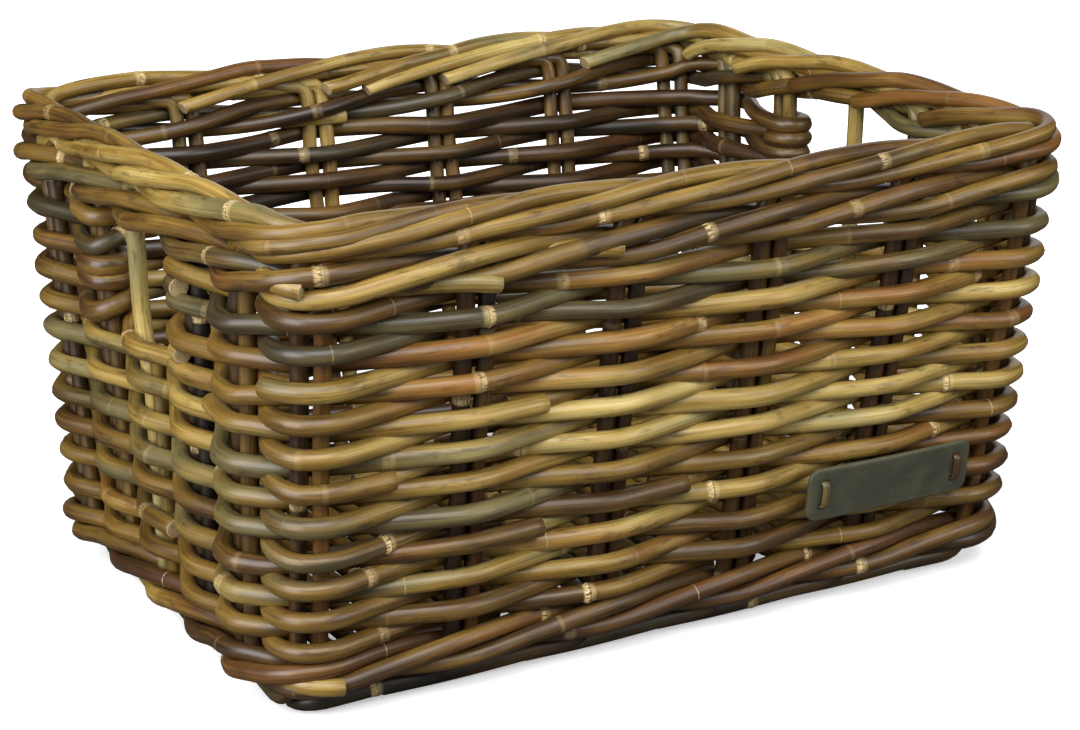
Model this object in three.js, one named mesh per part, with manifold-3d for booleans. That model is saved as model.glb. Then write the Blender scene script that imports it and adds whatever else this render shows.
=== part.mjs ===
import * as THREE from 'three';
import Module from 'manifold-3d';

const wasm = await Module();
wasm.setup();

// Outer form, in millimetres: the height over the border, and the rounded rectangle that the
// stakes stand on, at the floor and at that height. The walls lean outward between the two.
const rimHeight = 232;
const floorLength = 378;
const floorWidth = 254;
const rimLength = 389;
const rimWidth = 325;
const cornerRadius = 22;

// Rods. Five sides keep the round canes light. The weavers are as thick as the height asks.
const stakeRadius = 4.1;
const rodSides = 5;
const clearance = 0.3;
const endGap = 1;

// How many stakes and courses.
const longStakes = 6;
const shortStakes = 5;
const lowerCourses = 14;
const handleCourses = 7;
const joinStakes = [1, 13, 3];

// Where the end stakes stand, as distances from the corners of the rectangle.
const longInset = 11;
const shortInsetShare = 0.13;

// Foot, wales and border. The foot strand reaches back, and the border strand ahead, by these
// places in stakes.
const footRise = 7.5;
const footBend = 4;
const footFlat = 0.6;
const footReach = 1.45;
const footSlant = 6.8;
const bottomWaleHeight = 23;
const waleSlack = 1.1;
const waleDip = 0.7;
const waleStart = 3;
const waleBulge = 1.5;
const bendRadius = 6;
const bendAngles = [0, 1.1];
const ropePlaces = [0.5, 1, 1.5, 2, 2.5, 3.2];

// Base mat.
const baseHeight = 5.8;
const hoopInset = 20.5;
const stickCount = 4;
const matPasses = 30;
const matTurn = 4;

// Label, a bare strip held by a loop of split cane through two slots at each end.
const labelLength = 92;
const labelWidth = 26;
const labelThickness = 2.4;
const labelCorner = 5;
const labelHeight = 67;
const labelShift = 2;
const loopWidth = 4;
const loopThickness = 1.6;
const loopSpan = 12;
const loopInset = 8;
const loopReach = 4;

// Worked out from the values above.
const stakeCount = 2 * (longStakes + shortStakes);
const quarterSpan = stakeCount / 4;
const frontMiddle = (longStakes - 1) / 2;
const flatShare = Math.cos(Math.PI / rodSides);
const sideShare = Math.sin(2 * Math.PI / rodSides);
const totalCourses = lowerCourses + handleCourses;
const ropeRadius = (stakeRadius + clearance / 2) / Math.SQRT1_2 / Math.cos(Math.PI / 8) + 2 * clearance;
const courseShares = totalCourses + 2.5;
const notWeavers = bottomWaleHeight + 3 * waleSlack + 2 * ropeRadius + stakeRadius * (1 + sideShare);
const weaverHeight = rimHeight - notWeavers - courseShares * clearance;
const weaverRadius = weaverHeight / ((1 + flatShare) * courseShares + sideShare);
const coursePitch = weaverRadius * (1 + flatShare) + clearance;
const waleRise = coursePitch / 2 + waleSlack;
const seat = (stakeRadius + weaverRadius) * sideShare + 1.7 * clearance;
const pairHalfStep = (stakeRadius * (1 + flatShare) - clearance) / 2;
const innerShoulder = 1.5 * pairHalfStep;
const nearShoulder = 1.3 * pairHalfStep;
const outerShoulder = 11;
const firstCourse = bottomWaleHeight + waleRise + coursePitch;
const topWaleHeight = firstCourse + totalCourses * coursePitch + waleRise;
const ropeHeight = topWaleHeight + waleRise + (weaverRadius + stakeRadius) * sideShare + ropeRadius;
const lean = (rimWidth - floorWidth) / 2 / rimHeight;

const colours = {
  stake: 0x8a6238,
  weaver: 0xa07a48,
  wale: 0x86603a,
  base: 0x5f5138,
  label: 0x3e3e34,
  loop: 0x6b5c3e,
};

// Stakes are counted from the first one of the front, to the right and on round the basket.
const wallSides = [
  { name: 'front', first: 0, count: longStakes },
  { name: 'right', first: longStakes, count: shortStakes },
  { name: 'back', first: longStakes + shortStakes, count: longStakes },
  { name: 'left', first: 2 * longStakes + shortStakes, count: shortStakes },
];
const shortMiddle = (shortStakes - 1) / 2;
const handleStakes = [wallSides[1].first + shortMiddle, wallSides[3].first + shortMiddle];

function lengthAt(height) {
  return THREE.MathUtils.lerp(floorLength, rimLength, height / rimHeight);
}

function widthAt(height) {
  return THREE.MathUtils.lerp(floorWidth, rimWidth, height / rimHeight);
}

function longPitch(height) {
  return (lengthAt(height) - 2 * longInset) / (longStakes - 1);
}

function shortPitch(height) {
  return widthAt(height) * (1 - 2 * shortInsetShare) / (shortStakes - 1);
}

// Distance along the wall from the middle of a side to a stake that stands at this distance
// from the middle, rounding the corner where the stake is past the straight part.
function roundedRun(distance, straight) {
  if (distance <= straight) {
    return distance;
  }
  return straight + cornerRadius * Math.asin((distance - straight) / cornerRadius);
}

// Distance along the wall, from the middle of the long side towards the middle of the short
// side, of a place given in stakes. Places between two stakes are shared out evenly.
function quarterArc(place, height) {
  const straightLong = lengthAt(height) / 2 - cornerRadius;
  const straightShort = widthAt(height) / 2 - cornerRadius;
  const whole = straightLong + straightShort + cornerRadius * Math.PI / 2;
  const stakeArc = (stake) => {
    if (stake <= frontMiddle) {
      return roundedRun(stake * longPitch(height), straightLong);
    }
    return whole - roundedRun((quarterSpan - stake) * shortPitch(height), straightShort);
  };
  const below = Math.max(Math.floor(place - 0.5 + 1e-9) + 0.5, 0);
  if (below >= quarterSpan) {
    return whole;
  }
  const above = Math.floor(place - 0.5 + 1e-9) + 1.5;
  const share = (place - below) / (above - below);
  return THREE.MathUtils.lerp(stakeArc(below), stakeArc(above), share);
}

// A point of the wall: place in stakes (0 is the first stake of the front), height, distance
// outward from the line of the stakes, and a step along the wall.
function wallPoint(place, height, outward = 0, along = 0) {
  const turn = THREE.MathUtils.euclideanModulo(place - frontMiddle, stakeCount);
  const quarter = Math.floor(turn / quarterSpan + 1e-9) % 4;
  const within = turn - quarter * quarterSpan;
  const mirrored = quarter % 2 === 1;
  const arc = quarterArc(mirrored ? quarterSpan - within : within, height) + (mirrored ? -along : along);
  const straightLong = lengthAt(height) / 2 - cornerRadius;
  const straightShort = widthAt(height) / 2 - cornerRadius;
  const angle = THREE.MathUtils.clamp((arc - straightLong) / cornerRadius, 0, Math.PI / 2);
  const past = Math.max(arc - straightLong - cornerRadius * Math.PI / 2, 0);
  const x = Math.min(arc, straightLong) + (cornerRadius + outward) * Math.sin(angle);
  const y = -straightShort - (cornerRadius + outward) * Math.cos(angle) + past;
  const signX = quarter >= 2 ? -1 : 1;
  const signY = quarter === 1 || quarter === 2 ? -1 : 1;
  return new THREE.Vector3(signX * x, signY * y, height);
}

function outwardAt(place, height, along = 0) {
  return wallPoint(place, height, 1, along).sub(wallPoint(place, height, 0, along)).normalize();
}

function alongAt(place, height) {
  return new THREE.Vector3(0, 0, 1).cross(outwardAt(place, height));
}

// Section of a rod in the mitre plane of a vertex, from one of its two straight pieces.
function section(direction, mitre, reference, radius, turn, target) {
  const first = reference.clone().addScaledVector(direction, -reference.dot(direction)).normalize();
  const second = new THREE.Vector3().crossVectors(direction, first);
  for (let side = 0; side < rodSides; side += 1) {
    const angle = 2 * Math.PI * side / rodSides + turn;
    const corner = first.clone().multiplyScalar(radius * Math.cos(angle));
    corner.addScaledVector(second, radius * Math.sin(angle));
    corner.addScaledVector(direction, -corner.dot(mitre) / direction.dot(mitre));
    target[side].add(corner);
  }
}

// A solid rod along a list of points. One of its edges keeps facing the reference, or is
// turned away from it by an angle.
function rodSolid(points, references, radius, turn, endPlanes = []) {
  const last = points.length - 1;
  const directions = points.slice(1).map((point, index) => point.clone().sub(points[index]).normalize());
  const vertices = [];
  points.forEach((point, index) => {
    const before = directions[Math.max(index - 1, 0)];
    const after = directions[Math.min(index, last - 1)];
    const mitre = before.clone().add(after).normalize();
    if (index === 0 && endPlanes[0]) {
      mitre.copy(endPlanes[0]);
    }
    if (index === last && endPlanes[1]) {
      mitre.copy(endPlanes[1]);
    }
    const ring = Array.from({ length: rodSides }, () => new THREE.Vector3());
    section(before, mitre, references[index], radius, turn, ring);
    section(after, mitre, references[index], radius, turn, ring);
    ring.forEach((corner) => {
      corner.multiplyScalar(0.5).add(point);
      vertices.push(corner.x, corner.y, corner.z);
    });
  });
  const faces = [];
  for (let ring = 0; ring < last; ring += 1) {
    for (let side = 0; side < rodSides; side += 1) {
      const here = ring * rodSides + side;
      const next = ring * rodSides + (side + 1) % rodSides;
      faces.push(here, next, next + rodSides);
      faces.push(here, next + rodSides, here + rodSides);
    }
  }
  const end = last * rodSides;
  for (let side = 1; side < rodSides - 1; side += 1) {
    faces.push(0, side + 1, side);
    faces.push(end, end + side, end + side + 1);
  }
  return new wasm.Manifold(new wasm.Mesh({
    numProp: 3,
    vertProperties: new Float32Array(vertices),
    triVerts: new Uint32Array(faces),
  }));
}

function meshFrom(solid, name, colour, roughness = 0.5) {
  const data = solid.getMesh();
  const geometry = new THREE.BufferGeometry();
  geometry.setAttribute('position', new THREE.BufferAttribute(data.vertProperties, 3));
  geometry.setIndex(new THREE.BufferAttribute(data.triVerts, 1));
  geometry.computeVertexNormals();
  const material = new THREE.MeshStandardMaterial({ color: colour, roughness });
  const mesh = new THREE.Mesh(geometry, material);
  mesh.name = name;
  return mesh;
}

const up = new THREE.Vector3(0, 0, 1);

function weaverRod(points, endPlanes) {
  return rodSolid(points, points.map(() => up), weaverRadius, 0, endPlanes);
}

function stakeRod(points, outwards, endPlanes) {
  return rodSolid(points, outwards, stakeRadius, -Math.PI / 2, endPlanes);
}

// Stakes. Each one is a pair: the long rod runs from the foot up the wall and on into the
// border, and a shorter one is driven in beside it as far as the border or the handle.

// The foot strands reach under the floor by a little, and are cut level there.
function footPath(stake) {
  const low = stakeRadius * flatShare - footFlat;
  return [
    { place: stake - footReach, height: low, outward: -footReach * footSlant },
    { place: stake - footReach / 2, height: low + footRise / 2, outward: -footReach / 2 * footSlant },
    { place: stake, height: low + footRise, outward: 0, along: -pairHalfStep - footBend },
    { place: stake, height: low + footRise + footBend, outward: 0, along: -pairHalfStep },
  ];
}

// The border is a rope of the bent-down stakes. A stake enters it from below, passes outside
// the next stake, over the top of the one after and ends inside the third.
function borderPath(stake) {
  const points = bendAngles.map((angle) => ({
    place: stake,
    height: ropeHeight - ropeRadius - bendRadius * (1 - Math.sin(angle)),
    outward: 0,
    along: bendRadius * (1 - Math.cos(angle)) - pairHalfStep,
  }));
  ropePlaces.forEach((ahead) => {
    const angle = (ahead - 1) * Math.PI / 2;
    points.push({
      place: stake + ahead,
      height: ropeHeight + ropeRadius * Math.sin(angle),
      outward: ropeRadius * Math.cos(angle),
    });
  });
  return points;
}

function stakePair(stake) {
  const path = [...footPath(stake), ...borderPath(stake)];
  const points = path.map((step) => wallPoint(step.place, step.height, step.outward, step.along));
  const faces = path.map((step) => outwardAt(step.place, step.height));
  const main = stakeRod(points, faces);
  const inHandle = handleStakes.includes(stake);
  const foot = footRise + 2 * footBend;
  const head = inHandle
    ? firstCourse + (lowerCourses - 0.5) * coursePitch
    : ropeHeight - ropeRadius - stakeRadius - clearance;
  const side = [foot, head].map((height) => wallPoint(stake, height, 0, pairHalfStep));
  const sideFaces = [foot, head].map((height) => outwardAt(stake, height));
  const second = stakeRod(side, sideFaces, [up, up]);
  return main.add(second).trimByPlane([0, 0, 1], 0);
}

// Weave. A course passes outside every second stake and inside the others, and the next
// course does the opposite.

function courseHeight(course) {
  return firstCourse + course * coursePitch;
}

function courseSide(course, stake) {
  return THREE.MathUtils.euclideanModulo(course + stake, 2) === 0 ? 1 : -1;
}

function isLong(stake) {
  const index = THREE.MathUtils.euclideanModulo(stake, stakeCount);
  return wallSides.findLast((side) => side.first <= index).count === longStakes;
}

const cornerGaps = wallSides.map((wall) => wall.first + wall.count - 0.5);

function isCornerGap(place) {
  return cornerGaps.includes(THREE.MathUtils.euclideanModulo(place, stakeCount));
}

function coursePoint(course, stake, along = 0) {
  const height = courseHeight(course);
  return wallPoint(stake, height, courseSide(course, stake) * passOffset(stake, height), along);
}

// How far out a rod's line bends when it passes a stake: it lies on the edges of the pair and
// slopes away to both sides, more steeply where the stakes stand closer.
function passOffset(stake, height) {
  const gap = isLong(stake) ? longPitch(height) / 2 : shortPitch(height) / 2;
  return seat / (1 - pairHalfStep / gap) * Math.hypot(1, seat / gap, lean);
}

// Steps along the wall at which a rod bends when it passes a stake. The stakes beside a
// corner stand close, so a rod keeps to its side of them until it is past the pair.
function bends(stake, side) {
  const index = THREE.MathUtils.euclideanModulo(stake, stakeCount);
  const wall = wallSides.findLast((candidate) => candidate.first <= index);
  const corner = index === wall.first ? -1 : 1;
  if (index !== wall.first && index !== wall.first + wall.count - 1) {
    return [0];
  }
  const far = side > 0 ? outerShoulder : innerShoulder;
  let steps = [far, 0];
  if (isLong(stake)) {
    steps = side > 0 ? [far, 0, -nearShoulder] : [far, -nearShoulder];
  }
  return steps.map((step) => corner * step).sort((first, second) => first - second);
}

// A closed course starts and ends behind a stake, at one of three places along the long walls.
function closedCourse(course) {
  const start = joinStakes[course % joinStakes.length] + course % 2;
  const points = [coursePoint(course, start, endGap / 2)];
  for (let stake = start + 1; stake < start + stakeCount; stake += 1) {
    const steps = bends(stake, courseSide(course, stake));
    points.push(...steps.map((along) => coursePoint(course, stake, along)));
  }
  points.push(coursePoint(course, start, -endGap / 2));
  const plane = alongAt(start, courseHeight(course));
  return weaverRod(points, [plane, plane]);
}

// Round the open side of a handle's edge stake, from the course's own side to the other one.
function hookPoints(course, stake, opening, rise) {
  const side = courseSide(course, stake);
  const reach = pairHalfStep + seat;
  const steps = [
    { along: reach - 4, outward: 0.96 },
    { along: reach, outward: 0.45 },
    { along: reach, outward: -0.45 },
    { along: reach - 4, outward: -0.96 },
  ];
  return steps.map((step, index) => wallPoint(
    stake,
    courseHeight(course) + rise * (index + 0.5) / steps.length,
    side * step.outward * passOffset(stake, courseHeight(course)),
    opening * step.along,
  ));
}

// The part of a course between two handles, in the direction in which it is woven.
function passPoints(course, stakes, ahead) {
  return stakes.flatMap((stake) => {
    const steps = bends(stake, courseSide(course, stake));
    if (ahead < 0) {
      steps.reverse();
    }
    return steps.map((along) => coursePoint(course, stake, along));
  });
}

// One rod of the weave beside the handles: out along one course, round the edge stake and
// back along the course above, with both ends hooked round the other edge stake.
function handleRod(firstStake, lastStake, course, double, fromFirst) {
  const stakes = [];
  for (let stake = firstStake; stake <= lastStake; stake += 1) {
    stakes.push(stake);
  }
  if (!fromFirst) {
    stakes.reverse();
  }
  const ahead = fromFirst ? 1 : -1;
  const near = stakes[0];
  const far = stakes[stakes.length - 1];
  const tail = (level, stake, opening) => {
    const height = courseHeight(level);
    const outward = -courseSide(level, stake) * passOffset(stake, height);
    return [...hookPoints(level, stake, opening, 0), wallPoint(stake, height, outward, -2 * opening)];
  };
  const points = tail(course, near, -ahead).reverse();
  points.push(...passPoints(course, stakes, ahead));
  if (double) {
    points.push(...hookPoints(course, far, ahead, coursePitch));
    points.push(...passPoints(course + 1, [...stakes].reverse(), -ahead));
    points.push(...tail(course + 1, near, -ahead));
  } else {
    points.push(...tail(course, far, ahead));
  }
  return weaverRod(points);
}

// Wale: three rods, each in front of two stakes and behind one, rising by one rod's width
// along every long stroke. One long route goes round three times and is cut into three rods
// where it lies behind a stake.
function walePoints(height, from, to) {
  const points = [];
  for (let stake = from; stake <= to; stake += 1) {
    const phase = stake % 3;
    const gap = stake + 0.5;
    const side = phase === 0 ? -1 : 1;
    const outward = side * passOffset(stake, height);
    const rise = [0, -waleRise, waleRise][phase];
    const isEnd = stake === from || stake === to;
    const steps = isEnd ? [stake === from ? endGap / 2 : -endGap / 2] : bends(stake, side);
    points.push(...steps.map((along) => wallPoint(stake, height + rise, outward, along)));
    if (stake < to && phase !== 1) {
      points.push(wallPoint(gap, height + (phase === 0 ? -waleRise : waleRise), -waleDip));
    }
    if (stake < to && phase === 1 && isCornerGap(gap)) {
      points.push(wallPoint(gap, height, outward + waleBulge));
    }
  }
  return points;
}

function waleRod(height, from, to) {
  return weaverRod(walePoints(height, from, to), [alongAt(from, height), alongAt(to, height)]);
}

// Base mat: a hoop inside the foot, sticks across it, and one long rod laid to and fro. Every
// second stick lies under that rod on the hoop, and the others lie on top of it.

function hoop() {
  const start = 2.5;
  const points = [];
  for (let step = 0; step <= stakeCount; step += 1) {
    const along = [endGap / 2, -endGap / 2][[0, stakeCount].indexOf(step)] ?? 0;
    points.push(wallPoint(start + step, baseHeight, -hoopInset, along));
  }
  const plane = alongAt(start, baseHeight);
  return weaverRod(points, [plane, plane]);
}

const hoopHalfLength = lengthAt(baseHeight) / 2 - hoopInset;
const hoopHalfWidth = widthAt(baseHeight) / 2 - hoopInset;
const stickHeight = baseHeight + coursePitch;
const stickSpacing = 2 * hoopHalfWidth / (stickCount + 1);

function baseStick(index) {
  const y = (index + 1) * stickSpacing - hoopHalfWidth;
  const height = stickHeight + index % 2 * 2 * coursePitch;
  const reach = hoopHalfLength + weaverRadius;
  const points = [-reach, reach].map((x) => new THREE.Vector3(x, y, height));
  return weaverRod(points);
}

function baseWeaver() {
  const points = [];
  const height = stickHeight + coursePitch;
  const step = 2 * hoopHalfLength / (matPasses - 1);
  const edge = hoopHalfWidth - matTurn;
  for (let pass = 0; pass < matPasses; pass += 1) {
    const x = pass * step - hoopHalfLength;
    const ahead = pass % 2 === 0 ? 1 : -1;
    points.push(new THREE.Vector3(x, -ahead * edge, height));
    points.push(new THREE.Vector3(x, ahead * edge, height));
    if (pass < matPasses - 1) {
      points.push(new THREE.Vector3(x + step / 2, ahead * hoopHalfWidth, height));
    }
  }
  return weaverRod(points);
}

// Label: a flat strip on the outer strokes of the front, leaning with the wall. Its own axes
// run along the wall, up the slope and outward.

const labelStake = longStakes - 2;
const labelFace = passOffset(labelStake, labelHeight) + weaverRadius * sideShare + clearance;

function labelFrame() {
  const sideways = new THREE.Vector3(1, 0, 0);
  const slope = new THREE.Vector3(0, -lean, 1).normalize();
  const outward = new THREE.Vector3().crossVectors(sideways, slope);
  const origin = wallPoint(labelStake, labelHeight, 0, labelShift).addScaledVector(outward, labelFace);
  return new THREE.Matrix4().makeBasis(sideways, slope, outward).setPosition(origin);
}

function placed(solid, matrix) {
  return solid.transform(matrix.elements);
}

function extruded(shape, thickness) {
  const outline = shape.getPoints(2).map((point) => [point.x, point.y]);
  return new wasm.CrossSection([outline]).extrude(thickness);
}

function roundedStrip(length, width, corner) {
  const shape = new THREE.Shape();
  const x = length / 2 - corner;
  const y = width / 2 - corner;
  shape.absarc(x, -y, corner, -Math.PI / 2, 0);
  shape.absarc(x, y, corner, 0, Math.PI / 2);
  shape.absarc(-x, y, corner, Math.PI / 2, Math.PI);
  shape.absarc(-x, -y, corner, Math.PI, Math.PI * 1.5);
  return shape;
}

const loopPlace = labelLength / 2 - loopInset;

function labelPlate() {
  let plate = extruded(roundedStrip(labelLength, labelWidth, labelCorner), labelThickness);
  [-1, 1].forEach((end) => {
    [-1, 1].forEach((level) => {
      const opening = [loopWidth + 2 * clearance, loopThickness + 2 * clearance, 4 * labelThickness];
      const slot = wasm.Manifold.cube(opening, true);
      plate = plate.subtract(slot.translate([end * loopPlace, level * loopSpan / 2, labelThickness]));
    });
  });
  return placed(plate, labelFrame());
}

// The loop passes through the two slots and its legs reach back between the rods behind.
function labelLoop(end) {
  const back = labelFace - weaverRadius * sideShare - clearance - loopReach;
  const front = labelThickness + clearance + loopThickness;
  const bar = wasm.Manifold.cube([loopWidth, loopSpan + loopThickness, loopThickness], true);
  let loop = bar.translate([end * loopPlace, 0, front - loopThickness / 2]);
  [-1, 1].forEach((level) => {
    const leg = wasm.Manifold.cube([loopWidth, loopThickness, front + back], true);
    loop = loop.add(leg.translate([end * loopPlace, level * loopSpan / 2, (front - back) / 2]));
  });
  return placed(loop, labelFrame());
}

const part = new THREE.Group();
part.name = 'crate_basket';

function addPiece(solid, name, colour, roughness) {
  part.add(meshFrom(solid, name, colour, roughness));
}

wallSides.forEach((wall) => {
  for (let index = 0; index < wall.count; index += 1) {
    addPiece(stakePair(wall.first + index), `stake_${wall.name}_${index + 1}`, colours.stake);
  }
});

for (let course = 0; course < lowerCourses; course += 1) {
  addPiece(closedCourse(course), `course_${String(course + 1).padStart(2, '0')}`, colours.weaver);
}

const handleSections = [
  { name: 'front', first: handleStakes[1] + 1, last: handleStakes[0] - 1 + stakeCount },
  { name: 'back', first: handleStakes[0] + 1, last: handleStakes[1] - 1 },
];
handleSections.forEach((weave) => {
  for (let pair = 0; 2 * pair < handleCourses; pair += 1) {
    const course = lowerCourses + 2 * pair;
    const double = 2 * pair + 1 < handleCourses;
    const solid = handleRod(weave.first, weave.last, course, double, pair % 2 === 0);
    addPiece(solid, `handle_weaver_${weave.name}_${pair + 1}`, colours.weaver);
  }
});

const waleCuts = [0, stakeCount - 1, 2 * stakeCount + 1, 3 * stakeCount].map((cut) => waleStart + cut);
[['bottom_wale', bottomWaleHeight], ['top_wale', topWaleHeight]].forEach(([name, height]) => {
  for (let rod = 0; rod < 3; rod += 1) {
    addPiece(waleRod(height, waleCuts[rod], waleCuts[rod + 1]), `${name}_${rod + 1}`, colours.wale);
  }
});

addPiece(hoop(), 'base_hoop', colours.base);
for (let stick = 0; stick < stickCount; stick += 1) {
  addPiece(baseStick(stick), `base_stick_${stick + 1}`, colours.base);
}
addPiece(baseWeaver(), 'base_weaver', colours.base);

addPiece(labelPlate(), 'label_plate', colours.label, 0.6);
addPiece(labelLoop(-1), 'label_loop_left', colours.loop);
addPiece(labelLoop(1), 'label_loop_right', colours.loop);

export default part;
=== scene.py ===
import math

import bmesh
import bpy
import numpy as np
from mathutils import Matrix, Vector


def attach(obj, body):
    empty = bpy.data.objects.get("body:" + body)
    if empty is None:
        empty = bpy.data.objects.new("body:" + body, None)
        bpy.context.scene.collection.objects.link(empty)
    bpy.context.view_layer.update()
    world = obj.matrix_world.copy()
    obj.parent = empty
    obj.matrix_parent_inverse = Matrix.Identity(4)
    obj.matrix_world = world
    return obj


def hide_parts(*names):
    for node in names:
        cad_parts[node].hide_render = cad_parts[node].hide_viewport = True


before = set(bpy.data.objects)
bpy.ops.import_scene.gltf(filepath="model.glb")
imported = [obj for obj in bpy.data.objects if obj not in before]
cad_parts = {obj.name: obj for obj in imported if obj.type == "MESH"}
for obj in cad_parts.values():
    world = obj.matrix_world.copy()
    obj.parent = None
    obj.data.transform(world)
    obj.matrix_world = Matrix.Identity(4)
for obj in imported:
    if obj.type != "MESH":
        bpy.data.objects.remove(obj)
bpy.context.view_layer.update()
print("frame loaded")

# Camera first: the photograph is taken from the left end of the labelled wall, a little above.
cameraLook = {
    "place": (-0.580, -1.038, 0.470),
    "yaw": 29.56,  # degrees to the right of straight ahead
    "pitch": 17.38,  # degrees down
    "roll": -0.39,
    "lens": 84.27,
    "sensor": 36.0,
    "clipStart": 0.05,
}


def addObject(name, data):
    made = bpy.data.objects.new(name, data)
    bpy.context.scene.collection.objects.link(made)
    return made


def makeCamera(look):
    yaw, pitch, roll = (math.radians(look[key]) for key in ("yaw", "pitch", "roll"))
    ahead = Vector((math.sin(yaw) * math.cos(pitch), math.cos(yaw) * math.cos(pitch), -math.sin(pitch)))
    flatRight = Vector((math.cos(yaw), -math.sin(yaw), 0))
    flatUp = flatRight.cross(ahead)
    right = flatRight * math.cos(roll) + flatUp * math.sin(roll)
    above = right.cross(ahead)
    data = bpy.data.cameras.new("camera")
    data.lens = look["lens"]
    data.sensor_width = look["sensor"]
    data.clip_start = look["clipStart"]
    camera = addObject("camera", data)
    turn = Matrix((right, above, -ahead)).transposed()
    camera.matrix_world = Matrix.Translation(look["place"]) @ turn.to_4x4()
    bpy.context.scene.camera = camera


makeCamera(cameraLook)
print("camera placed")


# The basket's plan, in metres: the line that the stakes stand on, at the floor and at the rim.
basket = {
    "floorLength": 0.378,
    "floorWidth": 0.254,
    "rimLength": 0.389,
    "rimWidth": 0.325,
    "rimHeight": 0.232,
    "corner": 0.022,
    "longStakes": 6,
    "shortStakes": 5,
    "longInset": 0.011,
    "shortInsetShare": 0.13,
    "firstCourse": 0.03557,
    "coursePitch": 0.00764,
    "lowerCourses": 14,
    "handleCourses": 7,
    "bottomWale": 0.023,
    "topWale": 0.2010,
    "waleRise": 0.0046,
}

stakeCount = 2 * (basket["longStakes"] + basket["shortStakes"])
courseCount = basket["lowerCourses"] + basket["handleCourses"]
frontMiddle = (basket["longStakes"] - 1) / 2
quarterSpan = stakeCount / 4
walls = {}
for wallName, kind in (("front", "long"), ("right", "short"), ("back", "long"), ("left", "short")):
    firstStake = sum(map(len, walls.values()))
    walls[wallName] = range(firstStake, firstStake + basket[kind + "Stakes"])
shortWalls = (walls["right"], walls["left"])
rightHandle, leftHandle = (wall[len(wall) // 2] for wall in shortWalls)

# Places of the stakes of one quarter, from the middle of a long wall to the middle of a short one.
longPlaces = np.arange(0.5, basket["longStakes"] / 2)
shortPlaces = np.arange(basket["longStakes"] / 2 + 0.5, quarterSpan)
arcPlaces = np.array([0, *longPlaces, *shortPlaces, quarterSpan])


def rising(value, start, end):
    # 0 up to start, 1 from end on.
    return np.clip((value - start) / (end - start), 0, 1)


def planAt(height):
    # Length and width of the stakes' line at a height.
    share = np.asarray(height) / basket["rimHeight"]
    return [
        basket["floor" + way] + (basket["rim" + way] - basket["floor" + way]) * share
        for way in ("Length", "Width")
    ]


def roundedRun(distance, straight):
    # The way along a wall to a stake at this straight distance.
    past = np.clip((distance - straight) / basket["corner"], 0, 1)
    return np.where(distance > straight, straight + basket["corner"] * np.arcsin(past), distance)


def quarterArcs(height):
    # Distances along the wall of the places of one quarter, and of the start of its corner.
    length, width = planAt(height)
    straightLong = length / 2 - basket["corner"]
    straightShort = width / 2 - basket["corner"]
    whole = straightLong + straightShort + basket["corner"] * math.pi / 2
    longPitch = (length - 2 * basket["longInset"]) / (basket["longStakes"] - 1)
    shortPitch = width * (1 - 2 * basket["shortInsetShare"]) / (basket["shortStakes"] - 1)
    arcs = [np.zeros_like(length)]
    arcs += [roundedRun(place * longPitch, straightLong) for place in longPlaces]
    arcs += [whole - roundedRun((quarterSpan - place) * shortPitch, straightShort) for place in shortPlaces]
    return np.stack(arcs + [whole]), straightLong


def wallSpots(place, height, outward):
    # Points of the wall from places in stakes, heights and distances outward from the stakes.
    place, height, outward = np.broadcast_arrays(*(np.asarray(v, float) for v in (place, height, outward)))
    turn = np.mod(place - frontMiddle, stakeCount)
    turn = np.where(turn > stakeCount - 1e-6, 0.0, turn)
    quarter = np.floor(turn / quarterSpan + 1e-9).astype(int) % 4
    within = turn - quarter * quarterSpan
    within = np.where(quarter % 2 == 1, quarterSpan - within, within)
    arcs, straight = quarterArcs(height)
    index = np.clip(np.searchsorted(arcPlaces, within, side="right") - 1, 0, len(arcPlaces) - 2)
    below = np.take_along_axis(arcs, index[None], 0)[0]
    above = np.take_along_axis(arcs, index[None] + 1, 0)[0]
    share = (within - arcPlaces[index]) / (arcPlaces[index + 1] - arcPlaces[index])
    arc = below + (above - below) * share
    corner = basket["corner"]
    angle = np.clip((arc - straight) / corner, 0, math.pi / 2)
    past = np.maximum(arc - straight - corner * math.pi / 2, 0)
    x = np.minimum(arc, straight) + (corner + outward) * np.sin(angle)
    y = -(planAt(height)[1] / 2 - corner) - (corner + outward) * np.cos(angle) + past
    x = np.where(quarter >= 2, -x, x)
    y = np.where((quarter == 1) | (quarter == 2), -y, y)
    return np.stack([x, y, height], axis=-1)


def stepInStakes(stake, height, along):
    # A step along the wall in metres as a share of the gap beside the stake.
    nearby = 0.25 if along >= 0 else -0.25
    pair = wallSpots([stake, stake + nearby], height, 0)
    return along * abs(nearby) / np.linalg.norm(pair[1] - pair[0])


def wallOf(stake):
    return next(name for name, wall in walls.items() if stake % stakeCount in wall)


def swing(stake, family):
    return family["swingLong" if wallOf(stake) in ("front", "back") else "swingShort"]


def cornerOut(stake):
    # The stakes beside a corner on the short walls stand a little outside the others' line.
    atEnd = any(stake % stakeCount in (wall[0], wall[-1]) for wall in shortWalls)
    return stakes["cornerOut"] if atEnd else 0.0


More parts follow.
